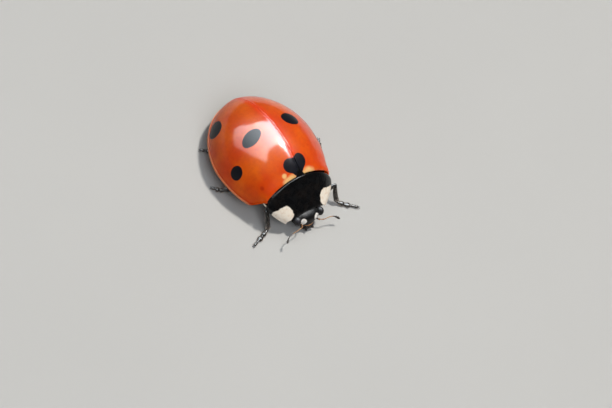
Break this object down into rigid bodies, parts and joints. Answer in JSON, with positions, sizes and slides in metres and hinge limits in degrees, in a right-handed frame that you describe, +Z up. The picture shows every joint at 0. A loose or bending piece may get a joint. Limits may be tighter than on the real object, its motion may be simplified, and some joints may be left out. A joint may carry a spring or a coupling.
{
  "type": "seven-spot ladybird",
  "caption": "Life-size ladybird beetle standing still, with glossy domed spotted wing cases, a black pronotum with pale corners, a small head and short clubbed feelers.",
  "frame": {"origin": "On the floor, on the body's midplane, under the middle of the whole length.", "axes": "+Y towards the tail, so the head looks along -Y; +X towards the animal's left; +Z up from the floor."},
  "size_m": [0.0072, 0.0084, 0.0035],
  "materials": {
    "wing_case": "glossy orange-red chitin with round black spots, cream patches beside the scutellum and a pale rim bead",
    "shield": "glossy black chitin with cream-white corner patches",
    "underside": "satin black chitin with sparse short pale hairs",
    "eye": "dark grey finely faceted compound eye",
    "mouth": "dark brown to black, satin",
    "feeler": "yellowish brown stem with a dark club",
    "leg": "glossy black with short pale hairs on shin and foot"
  },
  "bodies": {
    "root": {"elytron_left": "wing_case", "elytron_right": "wing_case", "scutellum": "shield", "pronotum": "shield", "head": "shield", "thorax": "underside", "abdomen": "underside", "prothorax": "underside", "eye_left": "eye", "eye_right": "eye", "mouthparts": "mouth", "antenna_left": "feeler", "antenna_right": "feeler", "leg_front_left_coxa": "leg", "leg_front_left_femur": "leg", "leg_front_left_tibia": "leg", "leg_front_left_tarsus": "leg", "leg_front_right_coxa": "leg", "leg_front_right_femur": "leg", "leg_front_right_tibia": "leg", "leg_front_right_tarsus": "leg", "leg_middle_left_coxa": "leg", "leg_middle_left_femur": "leg", "leg_middle_left_tibia": "leg", "leg_middle_left_tarsus": "leg", "leg_middle_right_coxa": "leg", "leg_middle_right_femur": "leg", "leg_middle_right_tibia": "leg", "leg_middle_right_tarsus": "leg", "leg_hind_left_coxa": "leg", "leg_hind_left_femur": "leg", "leg_hind_left_tibia": "leg", "leg_hind_left_tarsus": "leg", "leg_hind_right_coxa": "leg", "leg_hind_right_femur": "leg", "leg_hind_right_tibia": "leg", "leg_hind_right_tarsus": "leg"}
  },
  "joints": []
}
